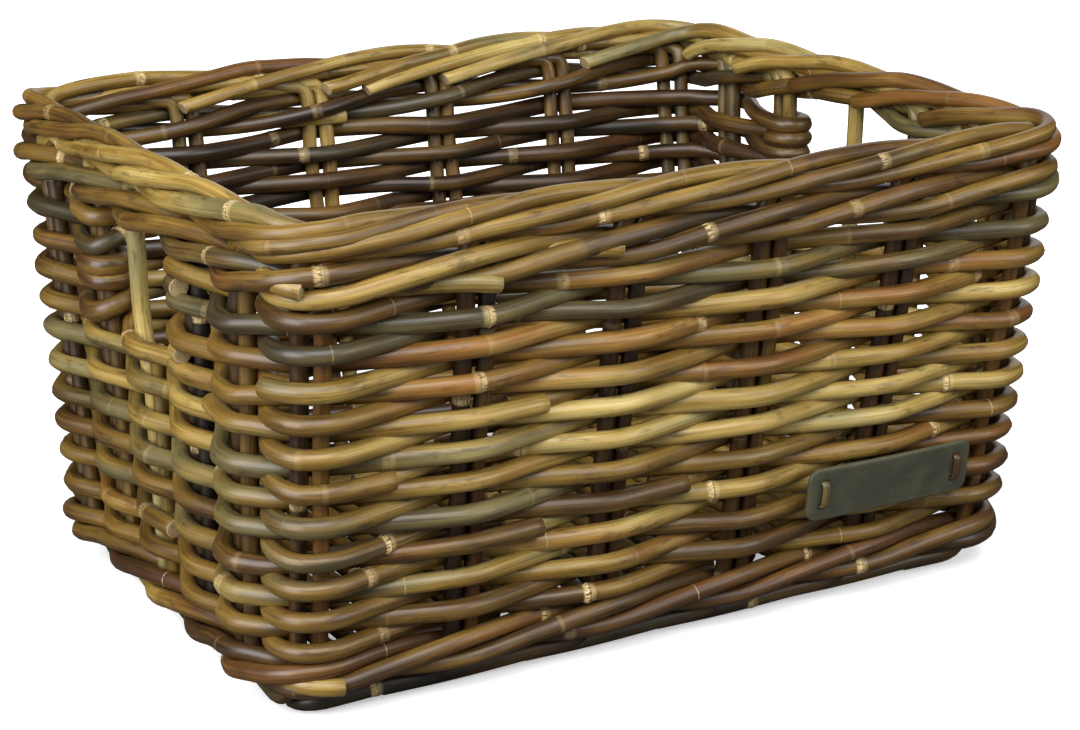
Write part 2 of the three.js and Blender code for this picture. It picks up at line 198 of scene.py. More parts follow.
# Rods. A route is a list of (place, height, outward, thickness), smoothed, cut into even steps
# with extra rings at the knuckles, and skinned with a round section.
tube = {
    "step": 0.0042,
    "sides": 14,
    "placeScale": 0.060,  # metres per stake, for spacing the spline only
    "joinTrim": 0.0006,  # what a rod stops short of the end that it meets
    "knuckleRings": (-0.0034, -0.0020, -0.0011, -0.0005, 0, 0.0005, 0.0011, 0.0020, 0.0034),
    "knuckleRoom": 0.0045,
    "knuckleReach": 0.0013,
    "lastKnuckle": 0.008,
    "unevenWave": 0.09,
    "leastTaper": 0.9,
    "oval": 0.02,
    "flake": 0.16,  # how far a torn leaf sheath stands out, as a share of the radius
    "flakeAt": -0.0012,
    "flakeReach": 0.0009,
    "flakeMark": 0.6,
    "endRings": ((0.93, 0.00035), (0.55, 0.00045), (0.0, 0.0005)),  # width and rise of a cut end
    "floor": 0.0002,  # nothing goes under this height
}

# The look of a rod, where the dictionary of its family has no value of that name.
plainRod = {
    "toneSpread": 0.09,
    "warmSpread": 0.20,
    "internode": 0.16,
    "knuckle": 0.10,
    "uneven": 0.04,
    # painted light: the stakes' foot is lighter below footTop, against the shade under the wale; less warm is
    # its own olive colour
    "footTop": -1,  # lighter and less warm under this height
    # painted shade on the stakes under the border, where the courses cover them
    "paintedStakeShade": 0,  # added under the border
    # painted shade of the back wall, taken off the tone
    "backDark": 0,
    "evened": 0,  # how alike the rods are beside the nearest corner
    "leftOlive": 0,
}

# Where those changes take place, and how strong they are.
zones = {
    "footFade": 0.006,
    # painted light that lifts the shaded foot
    "footPaintedLift": 0.06,
    "footCool": 0.7,
    "border": (0.211, 0.201),
    # y over which the painted shade of the back wall sets in
    "back": (0.03, 0.11),
    "left": (-0.14, -0.19),
    "corner": (-0.19, -0.15),
    "cornerReach": (0.08, 0.10),
    "cornerEven": 0.65,
    "leftEven": 0.4,
    "evenTone": 0.46,
    "cornerDark": 0.18,
}


def rodLook(rng, tone, warm, family):
    look = {key: family.get(key, value) for key, value in plainRod.items()}
    look["tone"] = tone + rng.uniform(-look["toneSpread"], look["toneSpread"])
    look["warm"] = warm
    return look


def splineThrough(points, perSpan=8):
    # A centripetal spline, with the first and last spans as if the route went straight on.
    points = np.asarray(points, float)
    padded = np.vstack([2 * points[0] - points[1], points, 2 * points[-1] - points[-2]])
    made = []
    for span in range(1, len(padded) - 2):
        line = padded[span - 1:span + 3]
        knots = [0.0]
        for a, b in zip(line, line[1:]):
            knots.append(knots[-1] + max(np.linalg.norm(b - a), 1e-6) ** 0.5)
        t = np.linspace(knots[1], knots[2], perSpan, endpoint=False)[:, None]
        for starts, ends in (((0, 1, 2), (1, 2, 3)), ((0, 1), (2, 3)), ((1,), (2,))):
            pairs = zip(line, line[1:], (knots[k] for k in starts), (knots[k] for k in ends))
            line = [(t1 - t) / (t1 - t0) * a + (t - t0) / (t1 - t0) * b for a, b, t0, t1 in pairs]
        made += line
    return np.vstack(made + [padded[-2]])


def wallRoute(steps, radius):
    # Smooths in the wall's own coordinates, so that a rod keeps to the wall round the corners.
    # Steps of four numbers end with a thickness, as a share of the radius.
    table = np.array([tuple(step) + (1.0,) * (4 - len(step)) for step in steps])
    scale = np.array([tube["placeScale"], 1, 1, 0.001])
    smooth = splineThrough(table * scale) / scale
    return wallSpots(smooth[:, 0], smooth[:, 1], smooth[:, 2]), smooth[:, 3] * radius


def trimmedEnds(steps, trim=tube["joinTrim"] / tube["placeScale"]):
    # Moves both ends in by this share of a stake gap.
    (first, *early), (last, *late) = steps[0], steps[-1]
    return [(first + trim, *early), *steps[1:-1], (last - trim, *late)]


def slowNoise(rng, along, wavelength):
    # Smooth random values between about -1 and 1 at these distances.
    knots = max(int(along[-1] / wavelength) + 3, 4)
    values = rng.uniform(-1, 1, knots)
    at = along / wavelength
    index = np.clip(at.astype(int), 0, knots - 2)
    part = np.clip(at - index, 0, 1)
    part = part * part * (3 - 2 * part)
    return values[index] * (1 - part) + values[index + 1] * part


def findKnuckles(rng, total, look):
    # Places of the knuckles along a rod, and how marked each one is.
    places = []
    at = rng.uniform(0.2, 1) * look["internode"]
    while at < total - tube["lastKnuckle"]:
        places.append(at)
        at += look["internode"] * rng.uniform(0.6, 1.5)
    return places, rng.beta(1.2, 1.6, len(places)) * 0.85 + 0.15


def ringStops(total, knuckles):
    # Distances along a rod at which it gets a ring of vertices.
    stops = np.linspace(0, total, max(int(total / tube["step"]), 2) + 1)
    for knuckle in knuckles:
        near = np.abs(stops - knuckle) < tube["knuckleRoom"]
        near[[0, -1]] = False
        stops = np.concatenate([stops[~near], knuckle + np.array(tube["knuckleRings"])])
    return np.unique(np.clip(stops, 0, total).round(6))


def nearKnuckles(stops, knuckles, marks):
    # At each ring: the distance from the nearest knuckle, its mark, and how many came before.
    nearest = np.full(len(stops), 1.0)
    mark = np.zeros(len(stops))
    passed = np.zeros(len(stops), int)
    for knuckle, strength in zip(knuckles, marks):
        gap = stops - knuckle
        closer = np.abs(gap) < np.abs(nearest)
        nearest[closer] = gap[closer]
        mark[closer] = strength
        passed += gap > 0
    return nearest, mark, passed


def ringFrames(centre, stops):
    # The rod's direction and two directions across it at each ring, without twist.
    ahead = np.gradient(centre, stops, axis=0)
    ahead /= np.linalg.norm(ahead, axis=1)[:, None]
    across = np.zeros_like(ahead)
    guess = np.array([0, 0, 1.0]) if abs(ahead[0][2]) < 0.8 else np.array([1.0, 0, 0])
    for ring, way in enumerate(ahead):
        guess = guess - way * guess.dot(way)
        guess /= np.linalg.norm(guess)
        across[ring] = guess
    return ahead, across, np.cross(ahead, across)


def ringColours(rng, stops, centre, passed, count, look):
    # Tone and warmth at each ring, with painted light on the stakes' foot and painted shade on the stakes
    # under the border and on the back wall.
    tones = rng.uniform(-1, 1, count + 1)
    tone = look["tone"] + look["toneSpread"] * tones[passed] + 0.10 * slowNoise(rng, stops, 0.16)
    warm = look["warm"] + look["warmSpread"] * (0.4 * tones[::-1][passed] + slowNoise(rng, stops, 0.22))
    x, y, z = centre.T
    # low marks the stakes' foot: painted lighter, as painted light against the shade under the wale, and less
    # warm, its own olive colour.
    low = rising(z, look["footTop"], look["footTop"] - zones["footFade"])
    left = rising(x, *zones["left"])
    away = (centre[:, :2] - zones["corner"]) / zones["cornerReach"]
    near = np.exp(-(away ** 2).sum(axis=1))
    even = np.maximum(zones["cornerEven"] * near, zones["leftEven"] * left) * look["evened"]
    # Painted shade: the stakes under the border darken, where they stand behind the courses.
    tone = tone + zones["footPaintedLift"] * low + look["paintedStakeShade"] * rising(z, *zones["border"])
    # Painted shade: the rods darken towards the back wall, whose inside lies in shade.
    tone = tone - look["backDark"] * rising(y, *zones["back"])
    tone = tone + (zones["evenTone"] - zones["cornerDark"] * near - tone) * even
    return tone, warm * (1 - zones["footCool"] * low) - look["leftOlive"] * left


def quadsBetween(lower, upper, sides):
    # Faces between two rings of vertices, given the numbers of their first ones.
    side = np.arange(sides)
    beyond = (side + 1) % sides
    quads = [lower + side, lower + beyond, upper + beyond, upper + side]
    return np.stack(quads, axis=-1).reshape(-1, 4)


def skin(route, rng, look):
    # One rod as arrays: vertices, faces and what its material reads at each vertex.
    points, radii = route
    lengths = np.linalg.norm(np.diff(points, axis=0), axis=1)
    dense = np.concatenate([[0], np.cumsum(lengths)])
    knuckles, marks = findKnuckles(rng, dense[-1], look)
    stops = ringStops(dense[-1], knuckles)
    centre = np.stack([np.interp(stops, dense, points[:, axis]) for axis in range(3)], axis=1)
    radius = np.interp(stops, dense, radii)
    ahead, across, beside = ringFrames(centre, stops)
    nearest, mark, passed = nearKnuckles(stops, knuckles, marks)

    # Thickness along the rod, then the shape of its section round it.
    swell = np.exp(-(nearest / tube["knuckleReach"]) ** 2) * look["knuckle"] * mark
    girth = radius * (1 + look["uneven"] * slowNoise(rng, stops, tube["unevenWave"]) + swell)
    taper = np.linspace(1, rng.uniform(tube["leastTaper"], 1.0), len(stops))
    girth = girth * (taper if rng.random() < 0.5 else taper[::-1])
    sides = tube["sides"]
    turn = np.linspace(0, 2 * math.pi, sides, endpoint=False)
    shape = 1 + tube["oval"] * np.cos(2 * turn + rng.uniform(0, 6))
    torn = np.clip(np.sin(3 * turn + rng.uniform(0, 6)) + np.sin(5 * turn + rng.uniform(0, 6)), 0, 1.5)
    collar = np.exp(-((nearest - tube["flakeAt"]) / tube["flakeReach"]) ** 2)
    collar = collar * rising(mark, tube["flakeMark"], 1)
    shape = shape + tube["flake"] * np.outer(collar, torn)
    ringOut = across[:, None] * np.cos(turn)[:, None] + beside[:, None] * np.sin(turn)[:, None]
    verts = centre[:, None] + ringOut * (girth[:, None] * shape)[..., None]
    if "slant" in look:
        # A cut that is not square: it faces this direction.
        offset = (verts[-1] - centre[-1]) @ np.array(look["slant"])
        verts[-1] -= ahead[-1] * offset[:, None]
    verts = verts.reshape(-1, 3)

    # The material's space runs along the rod, at a spot of the noise of its own.
    tone, warm = ringColours(rng, stops, centre, passed, len(knuckles), look)
    seed = rng.uniform(0, 40)
    local = np.zeros((len(stops), sides, 3))
    local[..., 0] = np.outer(radius, np.cos(turn)) + seed
    local[..., 1] = np.outer(radius, np.sin(turn)) + seed * 0.37
    local[..., 2] = stops[:, None] + seed * 0.11
    fromKnuckle = np.clip(nearest, -0.02, 0.02) * 100  # in hundredths of a metre
    perRing = {"caneTone": tone, "caneWarm": warm, "caneRing": fromKnuckle, "caneMark": mark}
    values = {key: np.repeat(value, sides) for key, value in perRing.items()}
    values["caneSpace"] = local.reshape(-1, 3)

    rings = np.arange(len(stops) - 1)[:, None] * sides
    faces = quadsBetween(rings, rings + sides, sides).tolist()
    ends = []
    for ring, way in ((0, -1), (len(stops) - 1, 1)):
        rim = ring * sides
        outer = verts[rim:rim + sides]
        middle = outer.mean(axis=0)
        push = ahead[ring] * way
        extra = [middle + (outer - middle) * share + push * rise for share, rise in tube["endRings"]]
        extra = np.vstack(extra)
        rows = [rim, *range(len(verts), len(verts) + len(extra), sides)]
        verts = np.vstack([verts, extra])
        for lower, upper in zip(rows, rows[1:]):
            ends += quadsBetween(lower, upper, sides)[:, ::way].tolist()
        for key in perRing:
            values[key] = np.concatenate([values[key], np.full(len(extra), values[key][rim])])
        flat = (extra - middle) @ np.stack([across[ring], beside[ring], ahead[ring]], axis=1)
        values["caneSpace"] = np.vstack([values["caneSpace"], flat + local[ring, 0] - [radius[ring], 0, 0]])
    verts[:, 2] = np.maximum(verts[:, 2], tube["floor"])
    return verts, faces, ends, values


def writeValues(mesh, key, data):
    kind, field = ("FLOAT", "value") if data.ndim == 1 else ("FLOAT_VECTOR", "vector")
    layer = mesh.attributes.new(key, kind, "POINT")
    layer.data.foreach_set(field, data.astype(np.float32).ravel())


def addPiece(name, mesh, node, place=None):
    piece = addObject(name, mesh)
    if place is not None:
        piece.matrix_world = place
    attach(piece, "root")
    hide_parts(node)


def addRods(node, rods, ending="_cane"):
    # Rods from skin() as one piece: the sides take the first material and the ends the second.
    verts = []
    faces = []
    kinds = []
    for rodVerts, sides, ends, values in rods:
        base = sum(len(v) for v in verts)
        verts.append(rodVerts)
        faces += [[index + base for index in face] for face in sides + ends]
        kinds += [0] * len(sides) + [1] * len(ends)
    mesh = bpy.data.meshes.new(node + ending)
    mesh.from_pydata(np.vstack(verts).tolist(), [], faces)
    for key in rods[0][3]:
        writeValues(mesh, key, np.concatenate([values[key] for *_, values in rods]))
    for material in (caneSkin, caneCut):
        mesh.materials.append(material)
    mesh.polygons.foreach_set("material_index", kinds)
    mesh.polygons.foreach_set("use_smooth", [kind == 0 for kind in kinds])
    mesh.update()
    addPiece(node + ending, mesh, node)


# Shader maths: a socket that takes part in Python expressions.
class Shade:
    tree = None

    def __init__(self, socket):
        self.socket = socket

    @classmethod
    def plug(cls, node, values):
        for key, value in values.items():
            if isinstance(value, Shade):
                cls.tree.links.new(value.socket, node.inputs[key])
            else:
                node.inputs[key].default_value = value

    @classmethod
    def node(cls, kind, settings=None, inputs=None, output=0):
        made = cls.tree.nodes.new("ShaderNode" + kind)
        for key, value in (settings or {}).items():
            if key == "stops":
                while len(made.color_ramp.elements) < len(value):
                    made.color_ramp.elements.new(0.5)
                for element, (position, *colour) in zip(made.color_ramp.elements, value):
                    element.position = position
                    element.color = paint(*colour)
            else:
                setattr(made, key, value)
        cls.plug(made, inputs or {})
        return cls(made.outputs[output])

    def _math(self, operation, other=None, flipped=False):
        pair = (other, self) if flipped else (self, other)
        inputs = {index: value for index, value in enumerate(pair) if value is not None}
        return Shade.node("Math", {"operation": operation}, inputs)

    def __add__(self, other):
        return self._math("ADD", other)

    def __sub__(self, other):
        return self._math("SUBTRACT", other)

    def __rsub__(self, other):
        return self._math("SUBTRACT", other, flipped=True)

    def __mul__(self, other):
        return self._math("MULTIPLY", other)

    __radd__ = __add__
    __rmul__ = __mul__

    def __abs__(self):
        return self._math("ABSOLUTE")

    def clamped(self):
        return self._math("MAXIMUM", 0.0)._math("MINIMUM", 1.0)

    def between(self, low, high):
        # 0 at low, 1 at high, smoothly
        inputs = {"Value": self, "From Min": low, "From Max": high}
        return Shade.node("MapRange", {"interpolation_type": "SMOOTHSTEP"}, inputs)


def attribute(name, output="Fac"):
    return Shade.node("Attribute", {"attribute_name": name}, output=output)


def objectSpace():
    return Shade.node("TexCoord", output="Object")


def stretched(vector, scale):
    return Shade.node("VectorMath", {"operation": "MULTIPLY"}, {0: vector, 1: scale})


def noise(vector, scale, detail=3.0, roughness=0.55):
    settings = {"Vector": stretched(vector, scale), "Scale": 1.0, "Detail": detail, "Roughness": roughness}
    return Shade.node("TexNoise", None, settings)


def mixed(share, first, second):
    # Colours go through a Mix node, numbers 6 and 7 of its inputs.
    return Shade.node("Mix", {"data_type": "RGBA"}, {0: share, 6: first, 7: second}, output=2)


def ramp(level, stops):
    return Shade.node("ValToRGB", {"stops": stops}, {"Fac": level})


def bumped(height, strength, distance):
    return Shade.node("Bump", None, {"Strength": strength, "Distance": distance, "Height": height})


def paint(red, green, blue):
    # A colour by its screen values, 0 to 255, as the shader wants it.
    def straight(value):
        value /= 255
        return value / 12.92 if value <= 0.04045 else ((value + 0.055) / 1.055) ** 2.4
    return (straight(red), straight(green), straight(blue), 1.0)


def newMaterial(name):
    material = bpy.data.materials.new(name)
    material.use_nodes = True
    Shade.tree = material.node_tree
    return material, material.node_tree.nodes["Principled BSDF"]


# The skin of the rods: three colourings from dark to pale, picked by the warmth.
cane = {
    "straw": (
        (0.00, 27, 16, 4), (0.22, 68, 45, 11), (0.48, 116, 89, 31),
        (0.72, 159, 134, 69), (1.00, 203, 184, 119),
    ),
    "rust": ((0.00, 29, 14, 4), (0.30, 76, 46, 13), (0.60, 131, 88, 32), (1.00, 182, 146, 80)),
    "olive": ((0.00, 22, 19, 12), (0.30, 60, 51, 28), (0.60, 108, 98, 58), (1.00, 168, 156, 104)),
    "scar": paint(204, 178, 124),
    "groove": paint(35, 21, 8),
    "patterns": {  # scales, detail and roughness
        "streak": ((620, 620, 9), 4.0, 0.6),
        "vein": ((2200, 2200, 26), 2.0),
        "cloud": ((90, 90, 16), 3.0),
        "stain": ((240, 240, 60), 5.0, 0.65),
        "tint": ((70, 70, 11), 3.0),
        "torn": ((1500, 1500, 320), 3.0),
    },
    "toneBy": (0.60, 0.34, 0.80),  # how much streaks, veins and clouds change the tone
    "warmBy": 1.5,
    "heights": (0.35, 0.15, 0.25),  # of streaks, veins and stains
    "bump": (0.55, 0.0005),
    "roughness": 0.48,
    "coat": 0.18,
    "coatRoughness": 0.22,
}


def caneMaterial(name, look):
    material, shader = newMaterial(name)
    space = attribute("caneSpace", "Vector")
    streak, vein, cloud, stain, tint, torn = (noise(space, *pattern) for pattern in look["patterns"].values())
    byStreak, byVein, byCloud = look["toneBy"]
    level = attribute("caneTone") + (streak - 0.5) * byStreak + (cloud - 0.5) * byCloud
    level = (level + (vein - 0.5) * byVein).clamped()
    hue = attribute("caneWarm") + (tint - 0.5) * look["warmBy"]
    base = mixed(hue.between(0.55, 1.0), ramp(level, look["straw"]), ramp(level, look["rust"]))
    base = mixed(hue.between(0.40, 0.05), base, ramp(level, look["olive"]))
    base = mixed(stain.between(0.54, 0.70) * 0.6, base, look["groove"])
    base = mixed(streak.between(0.55, 0.68) * 0.4, base, look["groove"])
    # Knuckles: a dark line beside a paler band, with torn scars of the leaf sheath.
    ring = attribute("caneRing")
    mark = attribute("caneMark")
    line = (1 - abs(ring).between(0.015, 0.055)) * mark
    band = (1 - abs(ring - 0.12).between(0.05, 0.18)) * mark * 0.35
    patch = (1 - abs(ring + 0.12).between(0.10, 0.24)) * torn.between(0.36, 0.54) * mark.between(0.35, 0.8)
    base = mixed(band, base, look["scar"])
    base = mixed(patch, base, look["scar"])
    base = mixed(line * 0.7, base, look["groove"])
    gloss = look["roughness"] + (streak - 0.5) * 0.2 + (cloud - 0.5) * 0.2 + patch * 0.4
    streakHeight, veinHeight, stainHeight = look["heights"]
    height = streak * streakHeight + vein * veinHeight + stain * stainHeight - line * 0.5 + patch * 0.6
    Shade.plug(shader, {
        "Base Color": base,
        "Roughness": gloss.clamped(),
        "Coat Weight": look["coat"],
        "Coat Roughness": look["coatRoughness"],
        "Normal": bumped(height, *look["bump"]),
    })
    return material


# The cut face of a rod: pale, full of small dark pores.
pith = {
    "colour": paint(164, 144, 102),
    "dark": paint(96, 76, 48),
    "pores": 2600,
    "blotches": 500,
    "bump": (0.6, 0.0003),
    "roughness": 0.75,
}


def pithMaterial(name, look):
    material, shader = newMaterial(name)
    space = attribute("caneSpace", "Vector")
    pores, wide = (noise(space, (look[key],) * 3, 2.0) for key in ("pores", "blotches"))
    colour = mixed(pores.between(0.50, 0.62) * 0.7, look["colour"], look["dark"])
    colour = mixed(wide.between(0.45, 0.75) * 0.5, colour, look["dark"])
    bump = bumped(1 - pores, *look["bump"])
    Shade.plug(shader, {"Base Color": colour, "Roughness": look["roughness"], "Normal": bump})
    return material


caneSkin = caneMaterial("cane", cane)
caneCut = pithMaterial("cane_cut", pith)
print("cane materials made")


# Stakes: the long rod of each pair comes from the foot, runs up the wall and lies in the rope
# border. The short one beside it ends in the middle of the border or under a hand opening, and in
# two pairs beside corners it lies in the border as well.
stakes = {
    "radius": 0.0040,
    "shortThickness": 0.97,
    "handleThickness": 1.10,
    "footThickness": 1.03,
    "ropeThickness": 0.93,
    "ropeThicker": 0.08,  # the share that the strands of the border gain on the short walls
    "coreThickness": 0.9,
    "halfStep": 0.0046,
    "starts": (0.024, 0.0155),  # heights from which both rods stand upright
    "wobble": 0.0003,
    "cornerOut": 0.0025,
    "leftLean": 0.12,  # how far the rod in the left hand opening leans back, in stakes
    "leanHeights": (0.12, 0.15),
    "footLow": 0.0041,
    "footRise": 0.0080,
    "footTop": 0.016,
    "footRoute": ((1.45, 0, -0.0099), (1.0, 0.0012, -0.0068), (0.5, 0.0040, -0.0034)),
    "elbow": ((0.0024, 0.0030, 0.0004), (0.0090, 0.0038, 0.0010)),  # along, up and outward
    "ropeRadius": 0.0071,
    "ropeHeight": 0.2204,
    "ropeUnder": 0.0090,
    "ropeStart": -66,  # degrees round the rope, 0 outside and 90 on top, half a gap on
    "ropeStop": 216,
    "ropeStops": (-10, 14),  # added to it at random
    "ropeInside": 2.6,  # radians from which a strand comes loose, by a random share
    "ropeLoose": (0.25, 0.5),
    "ropeRadii": (0.94, 1.02),
    "turnLong": 80,  # degrees in each gap between the stakes of a long wall
    "turnShort": 92,
    "ropeLag": 51,  # how far the second strand of a stake lies behind the first
    "ropeSink": 0.0016,  # strands lie this much lower, but arch up where they cross the top
    "sinkFrom": (-0.3, 0.6),
    "ropeArch": (0.3, 1.0),
    "archWidth": 0.55,
    "cutSlant": (0.22, -0.25),
    "looks": {  # lowest and highest tone and warmth of the rods of each wall
        "front": ((0.24, 0.50), (0.50, 0.95)),
        "right": ((0.52, 0.72), (0.20, 0.50)),
        "back": ((0.34, 0.56), (0.35, 0.75)),
        "left": ((0.42, 0.62), (0.20, 0.50)),
    },
    # Painted shade of the stakes behind the courses, by wall.
    "paintedStakeShades": {"front": -0.22, "right": -0.20, "back": -0.06, "left": -0.34},
    "doubled": (9, 20),
    "strandTones": {8: 0.66, 19: 0.60, 20: 0.38, 21: 0.44},  # of four long rods
    "secondTones": {20: 0.34},
    "seed": 311,
}

# Weave. Each course is one route that swings out over every second stake, of one rod or more.
weave = {
    "radius": 0.0045,
    "radii": (0.95, 1.05),
    "swingLong": 0.0080,
    "swingShort": 0.0082,
    "swings": (-0.0007, 0.0003),  # added to them at random
    "jitter": 0.0007,
    "hold": (0.0055, 0.97),  # reach and share of the swing
    "joins": (1, 13, 3),  # the stakes behind which the courses close, in turn
    "internode": 0.19,
    "knuckle": 0.09,
    "uneven": 0.08,
    # painted shade of the back wall
    "backDark": 0.10,
    "evened": 1.0,
    "leftOlive": 0.13,
    "lowerLooks": (  # tone and warmth of the courses, from the floor up
        (0.42, 0.66), (0.36, 0.72), (0.46, 0.55), (0.34, 0.60), (0.48, 0.40), (0.40, 0.68), (0.36, 0.62),
        (0.46, 0.30), (0.70, 0.45), (0.62, 0.40), (0.46, 0.50), (0.46, 0.28), (0.72, 0.50), (0.42, 0.66),
    ),
    # The back weavers' low tones are painted shade on the inside of the back wall.
    "handleLooks": {
        "front": ((0.62, 0.60), (0.46, 0.74), (0.46, 0.08), (0.42, 0.62)),
        "back": ((0.24, 0.60), (0.22, 0.65), (0.26, 0.40), (0.22, 0.60)),
    },
    "splices": {  # by course: place of a new rod, the side that shows its cut end, tone and warmth
        3: ((19.38, -1, 0.50, 0.30),),
        5: ((23.38, -1, 0.50, 0.45),),
        6: ((2.42, -1, 0.52, 0.72), (10.42, -1, 0.36, 0.62)),
        8: ((14.38, -1, 0.58, 0.45),),
        10: ((22.38, -1, 0.76, 0.50),),
        11: ((7.38, -1, 0.60, 0.30),),
        13: ((20.68, 1, 0.72, 0.45), (23.35, -1, 0.42, 0.66)),
        16: ((23.03, 0, 0.72, 0.45), (21.70, 1, 0.46, 0.74)),
    },
    "spliceOverlap": 0.10,  # in stakes
    "spliceGap": 0.01,
    "spliceStep": 0.0030,
    "openingLift": 0.0042,  # how far the courses are pulled up under the left hand opening
    "openingReach": (1.2, 3),
    "hookReach": 0.0068,
    "hookTurn": ((0.6, 0.95), (0.93, 0.6), (1, 0), (0.93, -0.6), (0.6, -0.95)),  # along, outward
    "hookSwing": 0.92,
    "hookThickness": 1.04,
    "hookEnd": 0.002,
    "seed": 11,
    "handleSeeds": {"front": 111, "back": 161},
}


def courseHeight(course, place=0):
    low = basket["firstCourse"] + course * basket["coursePitch"]
    if course >= basket["lowerCourses"]:
        return low
    alongReach, downReach = weave["openingReach"]
    near = math.exp(-((place % stakeCount - leftHandle) / alongReach) ** 2)
    return low + weave["openingLift"] * near * math.exp(-(basket["lowerCourses"] - 1 - course) / downReach)


def courseSide(course, stake):
    return 1 if (course + stake) % 2 == 0 else -1


def courseSteps(course, first, last, rng):
    # Steps of a course from one stake to another, either way round.
    way = 1 if last > first else -1
    steps = []
    for stake in range(first, last + way, way):
        side = courseSide(course, stake)
        height = courseHeight(course, stake) + rng.normal(0, weave["jitter"])
        out = side * (swing(stake, weave) + rng.uniform(*weave["swings"]))
        shift = cornerOut(stake)
        reach, share = weave["hold"]
        hold = way * stepInStakes(stake, height, reach)
        spots = ((-hold, share), (0, 1), (hold, share))
        steps += [(stake + aside, height, out * part + shift) for aside, part in spots]
        if stake != last:
            nextOut = -side * swing(stake + way, weave)
            steps.append((stake + way * 0.5, height, (out + nextOut) / 2))
    return steps


def stepBefore(steps, course, place):
    for index, (start, end) in enumerate(zip(steps, steps[1:])):
        onCourse = abs(start[1] - courseHeight(course, place)) < basket["coursePitch"] / 2
        if onCourse and (start[0] - place) * (end[0] - place) <= 0:
            return index


def splicedRods(steps, look, courses, rng):
    # The rods of a route, cut at its splices: one end stays outside and the other tucks in behind it.
    parts = []
    for course in courses:
        for place, shown, tone, warm in weave["splices"].get(course, ()):
            index = stepBefore(steps, course, place)
            before, after = steps[index:index + 2]
            way = 1 if after[0] > before[0] else -1
            share = (place - before[0]) / (after[0] - before[0])
            height, outward = (before[axis] + (after[axis] - before[axis]) * share for axis in (1, 2))
            overlap = way * (weave["spliceOverlap"] if shown else -weave["spliceGap"])
            shift = weave["spliceStep"] * shown * way
            parts.append((steps[:index + 1] + [(place + overlap, height, outward - shift)], look))
            steps = [(place - overlap, height, outward + shift)] + steps[index + 1:]
            look = rodLook(rng, tone, warm, weave)
    parts.append((steps, look))
    return [
        skin(wallRoute(part, weave["radius"] * rng.uniform(*weave["radii"])), rng, partLook)
        for part, partLook in parts
    ]


for course, (tone, warm) in enumerate(weave["lowerLooks"]):
    rng = np.random.default_rng(weave["seed"] + course)
    start = weave["joins"][course % 3] + course % 2
    steps = courseSteps(course, start, start + stakeCount, rng)[1:-1]
    steps = trimmedEnds(steps, stepInStakes(start, courseHeight(course), tube["joinTrim"]))
    rods = splicedRods(steps, rodLook(rng, tone, warm, weave), (course,), rng)
    addRods(f"course_{course + 1:02d}", rods)
print("courses woven")


def hookSteps(course, stake, opening, rise):
    # Round the open side of an opening's edge stake, in five steps.
    side = courseSide(course, stake)
    reach = stakes["halfStep"] + weave["hookReach"]
    steps = []
    for index, (along, outward) in enumerate(weave["hookTurn"]):
        height = courseHeight(course) + rise * (index + 0.5) / len(weave["hookTurn"])
        place = stake + stepInStakes(stake, height, opening * reach * along)
        out = side * outward * swing(stake, weave) * weave["hookSwing"]
        steps.append((place, height, out, weave["hookThickness"]))
    return steps


def handleWeaver(first, last, course, double, fromFirst, rng):
    # From opening to opening, and back along the next course where the rod is double.
    near, far = (first, last) if fromFirst else (last, first)
    ahead = 1 if fromFirst else -1

    def tail(level, stake, opening):
        height = courseHeight(level)
        out = -courseSide(level, stake) * swing(stake, weave)
        end = stake + stepInStakes(stake, height, -weave["hookEnd"] * opening)
        return hookSteps(level, stake, opening, 0) + [(end, height, out)]

    def across(level, begin, end):
        return courseSteps(level, begin, end, rng)[1:-1]

    steps = tail(course, near, -ahead)[::-1] + across(course, near, far)
    if not double:
        return steps + tail(course, far, ahead)
    steps += hookSteps(course, far, ahead, basket["coursePitch"])
    return steps + across(course + 1, far, near) + tail(course + 1, near, -ahead)


handleSections = {
    "front": (leftHandle + 1, rightHandle - 1 + stakeCount),
    "back": (rightHandle + 1, leftHandle - 1),
}
for sectionName, (first, last) in handleSections.items():
    for pair, (tone, warm) in enumerate(weave["handleLooks"][sectionName]):
        rng = np.random.default_rng(weave["handleSeeds"][sectionName] + pair)
        course = basket["lowerCourses"] + 2 * pair
        steps = handleWeaver(first, last, course, course + 1 < courseCount, pair % 2 == 0, rng)
        spliced = (course, course + 1) if sectionName == "front" else ()
        rods = splicedRods(steps, rodLook(rng, tone, warm, weave), spliced, rng)
        addRods(f"handle_weaver_{sectionName}_{pair + 1}", rods)
print("handle weavers turned")


